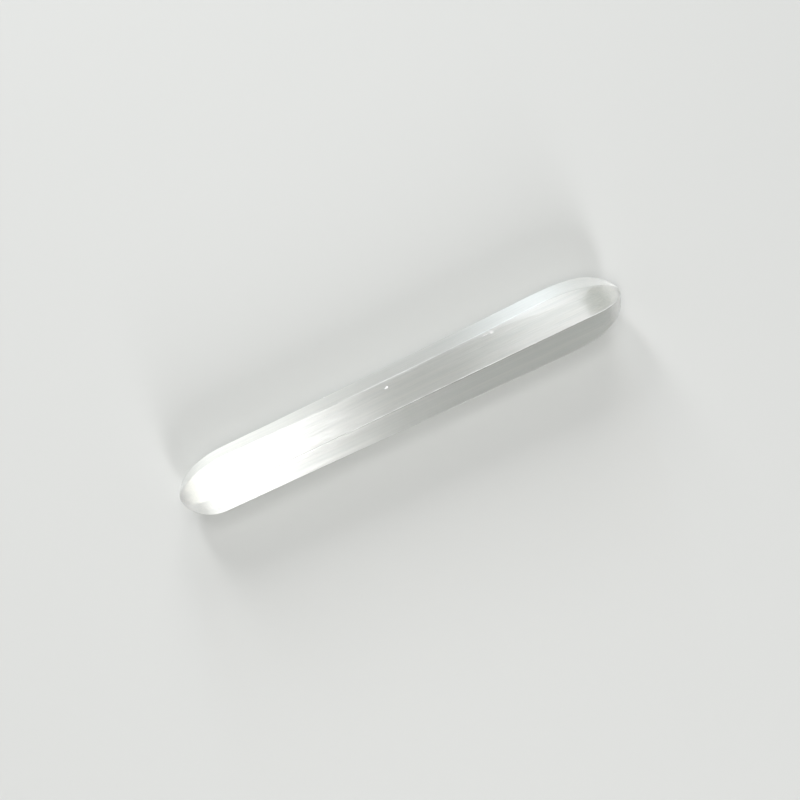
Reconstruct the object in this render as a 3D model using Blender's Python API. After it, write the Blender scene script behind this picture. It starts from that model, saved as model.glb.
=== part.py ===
"""A polished selenite wand: one bar of satin spar with six long ground facets and a dome at each end.

Sizes are metres. The wand lies along X on its base facet, thin end at -X and thick end at +X, with the
origin under its middle and +Z up. The near side is -Y and the far side is +Y.
"""

import math

import bmesh
import bpy
from mathutils import Matrix

MM = 0.001

LENGTH = 179 * MM
EDGE_RADIUS = 0.7 * MM  # of the polished edges between the facets
THICK_TIP_SHIFT = 0.5 * MM  # the thick end's tip lies a little towards the far side

# The wand was ground by hand, so each facet is gauged at three places along it: in the middle and this
# far from it on both sides.
GAUGE = 70 * MM

# Each facet has the way that it faces, in degrees from the far side up over the top; its distances from
# the centre line at the thin gauge, in the middle and at the thick gauge; and the lengths over which it
# curves in to the thin tip and to the thick tip.
FACETS = {
    "base": (-90, 9.8 * MM, 10.6 * MM, 11.4 * MM, 15 * MM, 17 * MM),
    "low_far": (-30, 9.4 * MM, 11.3 * MM, 11.8 * MM, 21.5 * MM, 13 * MM),
    "high_far": (30, 10.3 * MM, 10.2 * MM, 11.6 * MM, 21.5 * MM, 30 * MM),
    "shoulder": (82, 12.2 * MM, 11.87 * MM, 11.55 * MM, 15 * MM, 14.5 * MM),
    "top": (90, 9.8 * MM, 10.6 * MM, 11.4 * MM, 15 * MM, 17 * MM),
    "high_near": (150, 10.2 * MM, 10.45 * MM, 10.9 * MM, 14.5 * MM, 15.5 * MM),
    "low_near": (210, 9.4 * MM, 10.8 * MM, 12.1 * MM, 14.5 * MM, 29 * MM),
}

# The shoulder is a late, shallow facet. It meets the wand only towards the thick end, where it takes off
# the edge between these two.
SHOULDER_NEIGHBOURS = ("high_far", "top")

EDGE_STEPS = 6  # faces round each polished edge
BODY_STEPS = 12  # lengths between the domes
DOME_STEPS = 20  # lengths of a dome, the tip's included
ROUNDING = 7 * MM  # from each tip, the length over which the edges grow round
ROUNDEST = 0.98  # an edge's largest radius, as a share of its section's smallest facet distance
MERGE = 0.001 * MM  # points this close are one: the shoulder's, where it has no width

SELENITE_COLOUR = (0.90, 0.91, 0.90, 1.0)
SELENITE_IOR = 1.523
SELENITE_ROUGHNESS = 0.25
SELENITE_CLEARNESS = 0.6

THIN_DOME = max(facet[4] for facet in FACETS.values())
THICK_DOME = max(facet[5] for facet in FACETS.values())


def clear_scene():
    for obj in list(bpy.data.objects):
        bpy.data.objects.remove(obj, do_unlink=True)


def gauged(facet, x):
    """The facet's distance from the centre line at x, on the parabola through its three gauges."""
    thin, middle, thick = FACETS[facet][1:4]
    t = x / GAUGE
    return middle + t * (thick - thin) / 2 + t * t * ((thick + thin) / 2 - middle)


def domed(facet, x):
    """The share of its distance that a facet keeps at x: 1 between the domes, and 0 at both tips."""
    length = FACETS[facet][5] if x > 0 else FACETS[facet][4]
    along = (abs(x) - LENGTH / 2 + length) / length
    return math.sqrt(1 - max(0, along) ** 2)


def facing(facet):
    """The facet's outward normal, across the wand, as (y, z)."""
    angle = math.radians(FACETS[facet][0])
    return math.cos(angle), math.sin(angle)


def meeting(facet, other, distances):
    """The point (y, z) where two facets meet, at these distances from the centre line."""
    (ay, az), (by, bz) = facing(facet), facing(other)
    a, b = distances[facet], distances[other]
    turn = ay * bz - az * by
    return (a * bz - b * az) / turn, (b * ay - a * by) / turn


def centre(x):
    """The centre line's point (y, z) at x. It runs level with the base facet's distance above the base."""
    shift = THICK_TIP_SHIFT * (1 - domed("top", x)) if x > 0 else 0
    return shift, gauged("base", x)


def section(x):
    """The ring of points round the wand at x.

    Each edge is an arc, centred where its two facets would meet one edge radius further in. Near the
    tips the radius grows until the section is nearly a circle.
    """
    distances = {facet: gauged(facet, x) * domed(facet, x) for facet in FACETS}
    roundest = ROUNDEST * min(distances.values())
    sharpest = min(EDGE_RADIUS, roundest)
    near_tip = max(0, 1 - (LENGTH / 2 - abs(x)) / ROUNDING)
    radius = sharpest + (roundest - sharpest) * near_tip**2
    inner = {facet: distance - radius for facet, distance in distances.items()}

    ny, nz = facing("shoulder")
    y, z = meeting(*SHOULDER_NEIGHBOURS, inner)
    inner["shoulder"] = min(inner["shoulder"], y * ny + z * nz)

    centre_y, centre_z = centre(x)
    names = list(FACETS)
    ring = []
    for facet, following in zip(names, names[1:] + names[:1]):
        y, z = meeting(facet, following, inner)
        start = math.radians(FACETS[facet][0])
        sweep = math.radians((FACETS[following][0] - FACETS[facet][0]) % 360)
        for step in range(EDGE_STEPS + 1):
            angle = start + sweep * step / EDGE_STEPS
            ring.append((
                x,
                centre_y + y + radius * math.cos(angle),
                centre_z + z + radius * math.sin(angle),
            ))
    return ring


def stations():
    """The places along the wand that get a section, closer together towards both tips."""
    for step in range(1, DOME_STEPS):
        yield -LENGTH / 2 + THIN_DOME * (1 - math.cos(math.pi / 2 * step / DOME_STEPS))
    for step in range(BODY_STEPS + 1):
        yield THIN_DOME - LENGTH / 2 + (LENGTH - THIN_DOME - THICK_DOME) * step / BODY_STEPS
    for step in range(1, DOME_STEPS):
        yield LENGTH / 2 - THICK_DOME * (1 - math.sin(math.pi / 2 * step / DOME_STEPS))


def loft(sections, first_tip, last_tip):
    """A closed mesh through the sections, each bridged to the next, with a fan of faces at both tips."""
    bm = bmesh.new()
    rings = [[bm.verts.new(point) for point in ring] for ring in sections]
    first, last = bm.verts.new(first_tip), bm.verts.new(last_tip)
    count = len(rings[0])
    for i in range(count):
        j = (i + 1) % count
        for ring, following in zip(rings, rings[1:]):
            bm.faces.new((ring[i], ring[j], following[j], following[i]))
        bm.faces.new((rings[0][j], rings[0][i], first))
        bm.faces.new((rings[-1][i], rings[-1][j], last))
    bmesh.ops.remove_doubles(bm, verts=bm.verts, dist=MERGE)
    mesh = bpy.data.meshes.new("selenite_wand")
    bm.to_mesh(mesh)
    bm.free()
    return mesh


def selenite():
    material = bpy.data.materials.new("satin_selenite")
    material.use_nodes = True
    shader = material.node_tree.nodes["Principled BSDF"].inputs
    shader["Base Color"].default_value = SELENITE_COLOUR
    shader["IOR"].default_value = SELENITE_IOR
    shader["Roughness"].default_value = SELENITE_ROUGHNESS
    shader["Metallic"].default_value = 0
    shader["Transmission Weight"].default_value = SELENITE_CLEARNESS
    return material


def build_wand():
    tips = [(x, *centre(x)) for x in (-LENGTH / 2, LENGTH / 2)]
    mesh = loft([section(x) for x in stations()], *tips)
    sides = [vertex.co.y for vertex in mesh.vertices]
    mesh.transform(Matrix.Translation((0, -(min(sides) + max(sides)) / 2, 0)))
    mesh.shade_smooth()
    mesh.set_sharp_from_angle(angle=math.radians(30))
    mesh.materials.append(selenite())
    return bpy.data.objects.new("selenite_wand", mesh)


def main():
    clear_scene()
    collection = bpy.data.collections.new("Selenite wand")
    bpy.context.scene.collection.children.link(collection)
    collection.objects.link(build_wand())


main()
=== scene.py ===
"""The looks of a polished selenite wand: one bar of satin spar on a pale floor, seen from above.

The wand lies along X with its thin end at -X. Its near side is at -Y and its far side at +Y.
"""

import math
import random

import bpy
from mathutils import Matrix, Vector


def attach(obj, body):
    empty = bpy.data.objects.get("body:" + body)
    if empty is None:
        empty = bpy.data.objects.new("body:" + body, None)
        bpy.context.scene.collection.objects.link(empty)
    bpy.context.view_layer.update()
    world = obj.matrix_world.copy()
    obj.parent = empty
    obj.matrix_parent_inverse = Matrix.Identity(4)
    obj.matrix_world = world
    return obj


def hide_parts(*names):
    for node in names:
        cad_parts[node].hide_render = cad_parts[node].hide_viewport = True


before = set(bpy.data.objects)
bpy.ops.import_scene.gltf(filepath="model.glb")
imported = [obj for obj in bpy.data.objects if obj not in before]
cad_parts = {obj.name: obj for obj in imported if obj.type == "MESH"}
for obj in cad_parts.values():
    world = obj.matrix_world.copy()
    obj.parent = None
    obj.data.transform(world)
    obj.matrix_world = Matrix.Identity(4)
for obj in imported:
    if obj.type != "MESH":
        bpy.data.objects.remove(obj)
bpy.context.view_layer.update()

MM = 0.001

# The camera looks down on the wand from the near side, at a point close to its middle.
CAMERA_TARGET = Vector((-1.86, -1.59, 11)) * MM
CAMERA_DISTANCE = 500 * MM
CAMERA_AZIMUTH = -25.76
CAMERA_ELEVATION = 79.07
CAMERA_LENS = 61.3
CAMERA_SENSOR = 36
CAMERA_CLIP = 10 * MM

FLOOR_SIZE = 2.3
FLOOR_COLOUR = (0.66, 0.67, 0.665, 1)
FLOOR_ROUGH = 0.9

# The room is dim over and beside the wand, and bright beyond its ends, from where a direction turns this
# far towards them. What the camera sees of it behind the floor is pale.
ROOM_COLOUR = (0.97, 0.98, 1, 1)
DIM_ROOM = 0.07
BRIGHT_ENDS = 0.8
ENDS_BEGIN = 0.5
BACKDROP = 0.7

# The soft boxes stand round the wand's length at this distance from it.
LAMP_DISTANCE = 1.4
# Each soft box has its place along the wand, its way round the wand in degrees from the far side up over
# the top, its width along the wand, its length round it, its power and its colour.
SOFTBOXES = {
    "overhead": (-0.385, 105, 0.23, 0.65, 5.2, (1, 0.98, 0.9)),
    "far_strip": (-0.1425, 25, 0.255, 0.65, 8.2, (1, 1, 1)),
    "high_strip": (-0.1425, 75, 0.255, 0.65, 2.35, (1, 1, 1)),
    "near_strip": (-0.1425, 155, 0.255, 0.65, 10.2, (1, 0.99, 1)),
    "middle": (0.145, 75, 0.25, 0.65, 0.48, (1, 1, 0.96)),
    "far_window": (0.335, 12, 0.09, 0.35, 3.4, (0.85, 0.93, 1)),
    "high_window": (0.335, 75, 0.09, 0.65, 1.2, (1, 1, 1)),
    "far_right": (0.675, 25, 0.45, 0.65, 6.2, (1, 0.98, 0.97)),
    "high_right": (0.675, 75, 0.45, 0.65, 1.05, (0.95, 1, 0.85)),
}

# The silky share of the stone throws the light back in a band across the fibres. Of the rest, a part is
# clear and a part is milky. A spread is how far the streaks in the stone change a value either way, and
# along the grain the tint lies between a cool and a warm one.
SATIN = 0.36
ROUGH = 0.33
ROUGH_SPREAD = 0.01
CLEAR = 0.7
CLEAR_SPREAD = 0.02
INSIDE_COLOUR = (0.80, 0.825, 0.78, 1)
INSIDE_DENSITY = 140
MILK_DEPTH = 6 * MM
STONE_IOR = 1.523
POLISH_ROUGH = 0.14
COOL_STONE = (0.87, 0.89, 0.87, 1)
WARM_STONE = (0.96, 0.965, 0.935, 1)

# The width, the length, the seed and the detail of each kind of streak. Most of their noise lies within the
# range. Fine streaks and bundles make up the grain in equal shares.
FIBRES = (0.3 * MM, 25 * MM, 5, 2)
FINE_STREAKS = (0.35 * MM, 60 * MM, 0, 2)
BUNDLES = (1.6 * MM, 150 * MM, 3, 2)
VEILS = (6 * MM, 60 * MM, 7, 2)
BREAKS = (3 * MM, 5 * MM, 11, 3)
NOISE_RANGE = (0.35, 0.65)
NOISE_MIDDLE = (0.5, 0.5, 0.5)
GRAIN_SHARE = 0.5
# How far the fibres lean from each other, along and across the wand, and how high they and the bundles rise.
FIBRE_LEAN = (0.06, 0.5, 0.5)
BUNDLE_RELIEF = 0.8
RELIEF = 0.03 * MM

# At the tips the fibres end in the surface, which keeps TIP_CLEAR of its clearness there and is less silky.
# Over the domes the sheen turns by only DOME_TILT of the surface's own turn.
TIP_TURN = (0.15, 0.75)
TIP_CLEAR = 0.5
DOME_TILT = 0.13

# The ways that the facets look, in degrees from the far side up over the top. A face that looks more than
# STRIP_STARTS degrees past them belongs to the rounded strip between two of them. The near strip has painted
# shade up to this share of its height.
FACET_ANGLES = (-90, -30, 30, 82, 90, 150, 210)
STRIP_STARTS = 3
NEAR_STRIP_SHADED = 0.3

# How white (above 0) or dark (below 0) the edges are. On the upper edges the white is wear with a painted
# highlight, and the dark is painted shade. A white above 1 also fills the places where the white is faint.
# The upper edges have a little painted shade from the thin dome to where the white lines of painted
# highlight begin, and from the wand's middle to the thick dome the near line gains and the far one fades
# into painted shade. On each dome the white or shade goes from nothing to whole between two places.
LOW_EDGE = 0.3
THIN_EDGE = -0.4
FAR_EDGE = 0.75
FAR_EDGE_AT_DOME = -0.4
NEAR_EDGE = 0.75
NEAR_EDGE_AT_DOME = 1.6
PAINTED_SHADE_EDGE = -1
LINES_BEGIN = -26 * MM
LINES_FULL = -11 * MM
DOME_BEGINS = 70 * MM
THIN_DOME = (-81 * MM, -74 * MM)
THICK_DOME = (85.5 * MM, 80.5 * MM)

# The white of the edges, wear with a painted highlight, is patchy, and faint between the patches. A white
# edge has its own silky share, and keeps only the white edge's clear share of its clearness. An edge with
# painted shade keeps DULL_SATIN of its silky share, as the tips do.
FAINT_EDGE_WHITE = 0.5
WHITE_EDGE_SATIN = 0.2
WHITE_EDGE_CLEAR = 0.05
DULL_SATIN = 0.3
# The white of the edges: wear with a painted highlight.
WEAR_AND_HIGHLIGHT_COLOUR = (0.97, 0.97, 0.96, 1)
# The grey of the painted shade on the edges.
PAINTED_SHADE_COLOUR = (0.36, 0.37, 0.34, 1)

# Triangles that lie flat enough to each other become quads, and long edges are cut into shorter ones, so
# that the facets can wave a little. Angles are in degrees.
MERGE_DISTANCE = 0.002 * MM
FLAT_ENOUGH = 40
ANY_SHAPE = 180
LONG_EDGE = 4 * MM
EDGE_CUTS = 4
WAVE_LENGTH = 25 * MM
WAVE_DEPTH = 0.12 * MM
SMOOTH_ANGLE = 35
FLAT_FACET_WEIGHT = 80

# The place along and across the wand, the length, the width and the depth of the chips in the photograph.
CHIPS = (
    (-5.2 * MM, 2.9 * MM, 1.6 * MM, 0.8 * MM, 0.3 * MM),
    (38.0 * MM, 4.8 * MM, 1.5 * MM, 1.2 * MM, 0.35 * MM),
    (35.4 * MM, 4.8 * MM, 2.4 * MM, 0.4 * MM, 0.15 * MM),
)
# The smaller chips: how many, the ranges of their lengths and depths in millimetres, and their width as a
# share of their length.
SEED = 4
SMALL_CHIPS = 16
SMALL_CHIP_LENGTH = (0.5, 1.3)
SMALL_CHIP_DEPTH = (0.08, 0.16)
SMALL_CHIP_WIDTH = 0.5
# How rough all chips are, and how white: the white of broken stone with a painted glint.
CHIP_ROUGHNESS = 0.09
CHIP_WHITE_AND_GLINT = 2


def towards(azimuth, elevation):
    """The direction from the wand to the camera; azimuth 0 is on the near side."""
    a, e = math.radians(azimuth), math.radians(elevation)
    return Vector((math.sin(a) * math.cos(e), -math.cos(a) * math.cos(e), math.sin(e)))


def add_camera():
    bpy.ops.object.camera_add()
    camera = bpy.context.object
    camera.data.sensor_width = CAMERA_SENSOR
    camera.data.lens = CAMERA_LENS
    camera.data.clip_start = CAMERA_CLIP
    back = towards(CAMERA_AZIMUTH, CAMERA_ELEVATION)
    camera.location = CAMERA_TARGET + back * CAMERA_DISTANCE
    camera.rotation_euler = (-back).to_track_quat("-Z", "Y").to_euler()
    bpy.context.scene.camera = camera


def placed(place, x_axis, y_axis, z_axis):
    """A place and turn for an object, from where its own axes point."""
    return Matrix.Translation(place) @ Matrix((x_axis, y_axis, z_axis)).transposed().to_4x4()


def add_softbox(name, along, angle, width, length, power, colour):
    """A soft box that looks at the wand's middle; its width lies as nearly along the wand as it can."""
    bpy.ops.object.light_add(type="AREA")
    lamp = bpy.context.object
    lamp.name = name
    lamp.visible_camera = False
    lamp.data.shape = "RECTANGLE"
    lamp.data.size = width
    lamp.data.size_y = length
    lamp.data.energy = power
    lamp.data.color = colour
    turn = math.radians(angle)
    place = Vector((along, LAMP_DISTANCE * math.cos(turn), LAMP_DISTANCE * math.sin(turn)))
    back = place.normalized()
    side = (Vector((1, 0, 0)) - back * back.x).normalized()
    lamp.matrix_world = placed(place, side, back.cross(side), back)


def new_material(name):
    material = bpy.data.materials.new(name)
    material.use_nodes = True
    return material, material.node_tree, material.node_tree.nodes["Principled BSDF"]


def fill_inputs(tree, node, values):
    """Gives a shader node's inputs their values, or links them to another node's output."""
    for name, value in values.items():
        if isinstance(value, bpy.types.NodeSocket):
            tree.links.new(value, node.inputs[name])
        else:
            node.inputs[name].default_value = value


def add_node(tree, kind, values=None, **settings):
    """A new shader node, with its inputs' values or links and its settings."""
    node = tree.nodes.new(kind)
    for name, value in settings.items():
        setattr(node, name, value)
    fill_inputs(tree, node, values or {})
    return node


def streaks(tree, place, width, length, seed, detail, output="Fac"):
    """Noise drawn out along the wand: lengthwise streaks of about this width and length."""
    stretched = add_node(tree, "ShaderNodeMapping", {
        "Vector": place, "Location": (seed, seed, seed), "Scale": (1 / length, 1 / width, 1 / width)})
    return add_node(tree, "ShaderNodeTexNoise", {
        "Vector": stretched.outputs["Vector"], "Scale": 1, "Detail": detail}).outputs[output]


def blend_range(tree, value, low, high, low_result, high_result):
    """Eases from one result to the other as the value goes from low to high."""
    return add_node(tree, "ShaderNodeMapRange", {
        "Value": value, "From Min": low, "From Max": high, "To Min": low_result, "To Max": high_result},
        interpolation_type="SMOOTHSTEP").outputs["Result"]


def calculate(tree, operation, *numbers):
    """The result of a sum with numbers."""
    return add_node(tree, "ShaderNodeMath", dict(enumerate(numbers)), operation=operation).outputs[0]


def combine(tree, operation, *vectors):
    """The result of a sum with vectors."""
    return add_node(tree, "ShaderNodeVectorMath", dict(enumerate(vectors)), operation=operation).outputs[0]


def mixed_colour(tree, factor, a, b):
    return add_node(tree, "ShaderNodeMix", {"Factor": factor, 6: a, 7: b}, data_type="RGBA").outputs[2]


def turned_lengthwise(tree, direction):
    """How far a direction is turned along the wand: 0 is straight across it, 1 straight to an end."""
    x = add_node(tree, "ShaderNodeSeparateXYZ", {"Vector": direction}).outputs["X"]
    return calculate(tree, "ABSOLUTE", x)


def sheen_normal(tree, facing, fibres, ridges):
    """The sheen comes from the fibres, which all lie along the wand, so over the domes it hardly turns
    with the surface. The fibres lean a little from each other, and the relief lies on top."""
    levelled = combine(tree, "MULTIPLY", facing, (DOME_TILT, 1, 1))
    lean = combine(tree, "SUBTRACT", fibres, NOISE_MIDDLE)
    leaning = combine(tree, "MULTIPLY_ADD", lean, FIBRE_LEAN, levelled)
    fibre_normal = combine(tree, "NORMALIZE", leaning)
    return add_node(tree, "ShaderNodeBump", {
        "Height": ridges, "Strength": 1, "Distance": RELIEF, "Normal": fibre_normal}).outputs["Normal"]


def satin_spar():
    material, tree, shader = new_material("satin_spar")
    place = add_node(tree, "ShaderNodeTexCoord").outputs["Object"]
    facing = add_node(tree, "ShaderNodeNewGeometry").outputs["Normal"]
    edge_light = add_node(tree, "ShaderNodeAttribute", attribute_name="edge_light").outputs["Fac"]

    fibres = streaks(tree, place, *FIBRES, output="Color")
    fine = streaks(tree, place, *FINE_STREAKS)
    bundles = streaks(tree, place, *BUNDLES)
    veils = streaks(tree, place, *VEILS)
    breaks = streaks(tree, place, *BREAKS)
    coarse = calculate(tree, "MULTIPLY", bundles, GRAIN_SHARE)
    grain = calculate(tree, "MULTIPLY_ADD", fine, GRAIN_SHARE, coarse)
    ridges = calculate(tree, "MULTIPLY_ADD", bundles, BUNDLE_RELIEF, fine)

    # The edge marks: white is wear with a painted highlight, dark is painted shade that also dulls the
    # sheen.
    patches = blend_range(tree, breaks, *NOISE_RANGE, FAINT_EDGE_WHITE, 1)
    wear_and_light = calculate(tree, "MULTIPLY", calculate(tree, "MAXIMUM", edge_light, 0), patches)
    painted_shade = calculate(tree, "MAXIMUM", calculate(tree, "MULTIPLY", edge_light, -1), 0)
    tip = blend_range(tree, turned_lengthwise(tree, facing), *TIP_TURN, 0, 1)

    veiled = blend_range(tree, veils, *NOISE_RANGE, CLEAR + CLEAR_SPREAD, CLEAR - CLEAR_SPREAD)
    veiled_and_whitened = calculate(tree, "MULTIPLY", veiled, blend_range(tree, wear_and_light, 0, 1, 1, WHITE_EDGE_CLEAR))
    clearness = calculate(tree, "MULTIPLY", veiled_and_whitened, blend_range(tree, tip, 0, 1, 1, TIP_CLEAR))
    dull = blend_range(tree, calculate(tree, "MAXIMUM", painted_shade, tip), 0, 1, 1, DULL_SATIN)
    satin = calculate(tree, "MULTIPLY", blend_range(tree, wear_and_light, 0, 1, SATIN, WHITE_EDGE_SATIN), dull)
    roughness = blend_range(tree, grain, *NOISE_RANGE, ROUGH - ROUGH_SPREAD, ROUGH + ROUGH_SPREAD)
    tint = mixed_colour(tree, blend_range(tree, grain, *NOISE_RANGE, 0, 1), COOL_STONE, WARM_STONE)
    # The painted shade on the edges darkens the tint.
    tint_with_painted_shade = mixed_colour(tree, painted_shade, tint, PAINTED_SHADE_COLOUR)

    fill_inputs(tree, shader, {
        "Base Color": mixed_colour(tree, wear_and_light, tint_with_painted_shade, WEAR_AND_HIGHLIGHT_COLOUR),
        "Metallic": satin,
        "Roughness": roughness,
        "IOR": STONE_IOR,
        "Normal": sheen_normal(tree, facing, fibres, ridges),
        "Subsurface Weight": 1,
        "Subsurface Radius": (MILK_DEPTH, MILK_DEPTH, MILK_DEPTH),
        "Subsurface Scale": 1,
        "Anisotropic": 1,
        "Tangent": combine(tree, "CROSS_PRODUCT", (1, 0, 0), facing),
        "Transmission Weight": clearness,
        "Coat Weight": 1,
        "Coat Roughness": POLISH_ROUGH,
        "Coat IOR": STONE_IOR,
    })
    absorption = add_node(tree, "ShaderNodeVolumeAbsorption", {
        "Color": INSIDE_COLOUR, "Density": INSIDE_DENSITY})
    tree.links.new(absorption.outputs["Volume"], tree.nodes["Material Output"].inputs["Volume"])
    return material


def activate(obj):
    bpy.ops.object.select_all(action="DESELECT")
    obj.select_set(True)
    bpy.context.view_layer.objects.active = obj


def apply_modifier(obj, kind, **settings):
    activate(obj)
    modifier = obj.modifiers.new(kind.lower(), kind)
    for name, value in settings.items():
        setattr(modifier, name, value)
    bpy.ops.object.modifier_apply(modifier=modifier.name)


def copy_of_solid():
    """A copy of the plain solid without its own notes, its triangles merged to one skin of quads."""
    activate(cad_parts["selenite_wand"])
    bpy.ops.object.duplicate()
    wand = bpy.context.object
    wand.name = "wand"
    wand.parent = None
    for key in list(wand.keys()):
        del wand[key]
    bpy.ops.mesh.customdata_custom_splitnormals_clear()
    bpy.ops.object.mode_set(mode="EDIT")
    bpy.ops.mesh.select_all(action="SELECT")
    bpy.ops.mesh.remove_doubles(threshold=MERGE_DISTANCE)
    bpy.ops.mesh.tris_convert_to_quads(face_threshold=math.radians(FLAT_ENOUGH),
                                       shape_threshold=math.radians(ANY_SHAPE))
    bpy.ops.mesh.select_all(action="DESELECT")
    bpy.ops.object.mode_set(mode="OBJECT")
    return wand


def split_long_edges(wand):
    activate(wand)
    mesh = wand.data
    for edge in mesh.edges:
        a, b = (mesh.vertices[i].co for i in edge.vertices)
        edge.select = (a - b).length > LONG_EDGE
    bpy.ops.object.mode_set(mode="EDIT")
    bpy.ops.mesh.select_mode(type="EDGE")
    bpy.ops.mesh.subdivide(number_cuts=EDGE_CUTS)
    bpy.ops.mesh.select_all(action="DESELECT")
    bpy.ops.object.mode_set(mode="OBJECT")


def way_round(normal):
    """The way that a face looks across the wand, in degrees from the far side up over the top."""
    return math.degrees(math.atan2(normal.z, normal.y))


def turn_between(a, b):
    return abs((a - b + 180) % 360 - 180)


def off_facet(normal):
    """Degrees between the way that a face looks and the nearest ground facet."""
    return min(turn_between(way_round(normal), facet) for facet in FACET_ANGLES)


def strip_height(normal):
    """How far up the rounded strip between two facets a face is: 0 at the lower facet, 1 at the upper."""
    angle = way_round(normal)
    nearest = sorted(FACET_ANGLES, key=lambda facet: turn_between(angle, facet))[:2]
    low, high = sorted(nearest, key=lambda facet: math.sin(math.radians(facet)))
    return turn_between(angle, low) / max(1, turn_between(high, low))


def share(value, low, high):
    """How far a value has come from low to high, from 0 to 1."""
    return min(1, max(0, (value - low) / (high - low)))


def edge_wear_and_painted_light(place, normal):
    """How white or dark a face of the rounded strips between the facets is. White is wear with a painted
    highlight, dark is painted shade.
    """
    if normal.z < 0:
        return LOW_EDGE
    thick = share(place.x, 0, DOME_BEGINS)
    if normal.y > 0:
        edge_tone = FAR_EDGE + (FAR_EDGE_AT_DOME - FAR_EDGE) * thick
    elif strip_height(normal) > NEAR_STRIP_SHADED:
        edge_tone = NEAR_EDGE + (NEAR_EDGE_AT_DOME - NEAR_EDGE) * thick
    else:
        edge_tone = PAINTED_SHADE_EDGE
    return THIN_EDGE + (edge_tone - THIN_EDGE) * share(place.x, LINES_BEGIN, LINES_FULL)


# Marks the rounded strips with white (wear and a painted highlight) or dark (painted shade).
def mark_edge_wear_and_painted_light(wand):
    mesh = wand.data
    light = mesh.attributes.new("edge_light", "FLOAT", "FACE")
    for face in mesh.polygons:
        fade = share(face.center.x, *THIN_DOME) * share(face.center.x, *THICK_DOME)
        if off_facet(face.normal) > STRIP_STARTS:
            light.data[face.index].value = fade * edge_wear_and_painted_light(face.center, face.normal)


def unevenly_ground(wand):
    """Hand grinding leaves the facets a little uneven. Nothing is raised above the solid."""
    waves = bpy.data.textures.new("grinding_waves", "CLOUDS")
    waves.noise_scale = WAVE_LENGTH
    apply_modifier(wand, "DISPLACE", texture=waves, texture_coords="LOCAL", direction="NORMAL",
                   mid_level=1.0, strength=WAVE_DEPTH)


def add_nick(place, normal, length, width, depth, seed):
    """A rough lump that sits half sunk in the surface at a place, to cut a small chip from it."""
    bpy.ops.object.select_all(action="DESELECT")
    bpy.ops.mesh.primitive_ico_sphere_add(subdivisions=2, radius=0.5)
    lump = bpy.context.object
    bpy.ops.object.mode_set(mode="EDIT")
    bpy.ops.mesh.select_all(action="SELECT")
    bpy.ops.transform.vertex_random(offset=CHIP_ROUGHNESS, seed=seed)
    bpy.ops.object.mode_set(mode="OBJECT")
    side = normal.cross((1, 0, 0)).normalized()
    size = Matrix.Diagonal((length, width, 2 * depth, 1))
    lump.matrix_world = placed(place, side.cross(normal), side, normal) @ size
    return lump


def chip(wand):
    """Cuts the three marks that the photograph shows, and smaller ones at random along the edges."""
    rng = random.Random(SEED)
    lumps = []
    for x, y, length, width, depth in CHIPS:
        place, normal = wand.ray_cast((x, y, 1), (0, 0, -1))[1:3]
        lumps.append(add_nick(place, normal, length, width, depth, len(lumps)))
    light = wand.data.attributes["edge_light"].data
    wear_and_light = [face for face in wand.data.polygons if light[face.index].value]
    spots = [(face.center.copy(), face.normal.copy())
             for face in rng.choices(wear_and_light, weights=[face.area for face in wear_and_light], k=SMALL_CHIPS)]
    for place, normal in spots:
        length = rng.uniform(*SMALL_CHIP_LENGTH) * MM
        width = SMALL_CHIP_WIDTH * length
        depth = rng.uniform(*SMALL_CHIP_DEPTH) * MM
        lumps.append(add_nick(place, normal, length, width, depth, len(lumps)))
    activate(lumps[0])
    for lump in lumps:
        lump.select_set(True)
    bpy.ops.object.transform_apply(location=True, rotation=True, scale=True)
    bpy.ops.object.join()
    cutter = lumps[0]
    # The chip faces get full white: broken stone and a painted glint.
    chip_light = cutter.data.attributes.new("edge_light", "FLOAT", "FACE")
    for face in cutter.data.polygons:
        chip_light.data[face.index].value = CHIP_WHITE_AND_GLINT
    apply_modifier(wand, "BOOLEAN", operation="DIFFERENCE", solver="EXACT", object=cutter)
    bpy.data.objects.remove(cutter)


def polished_wand():
    wand = copy_of_solid()
    split_long_edges(wand)
    mark_edge_wear_and_painted_light(wand)
    unevenly_ground(wand)
    chip(wand)
    activate(wand)
    bpy.ops.object.shade_smooth_by_angle(angle=math.radians(SMOOTH_ANGLE))
    apply_modifier(wand, "WEIGHTED_NORMAL", keep_sharp=True, mode="FACE_AREA", weight=FLAT_FACET_WEIGHT)
    wand.data.materials.clear()
    wand.data.materials.append(satin_spar())
    return wand


def add_floor():
    material, tree, shader = new_material("pale_floor")
    fill_inputs(tree, shader, {"Base Color": FLOOR_COLOUR, "Roughness": FLOOR_ROUGH})
    bpy.ops.mesh.primitive_plane_add(size=FLOOR_SIZE, location=(0, 0, 0))
    floor = bpy.context.object
    floor.name = "floor"
    floor.data.materials.append(material)


def add_studio():
    scene = bpy.context.scene
    scene.view_settings.view_transform = "Standard"
    world = bpy.data.worlds.new("pale_room")
    scene.world = world
    world.use_nodes = True
    tree = world.node_tree
    direction = add_node(tree, "ShaderNodeTexCoord").outputs["Generated"]
    to_ends = turned_lengthwise(tree, direction)
    room = blend_range(tree, to_ends, ENDS_BEGIN, 1, DIM_ROOM, BRIGHT_ENDS)
    seen = add_node(tree, "ShaderNodeLightPath").outputs["Is Camera Ray"]
    fill_inputs(tree, tree.nodes["Background"], {
        "Color": ROOM_COLOUR, "Strength": blend_range(tree, seen, 0, 1, room, BACKDROP)})
    for name, settings in SOFTBOXES.items():
        add_softbox(name, *settings)


add_camera()
add_studio()
add_floor()
wand = polished_wand()
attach(wand, "root")
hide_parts("selenite_wand")
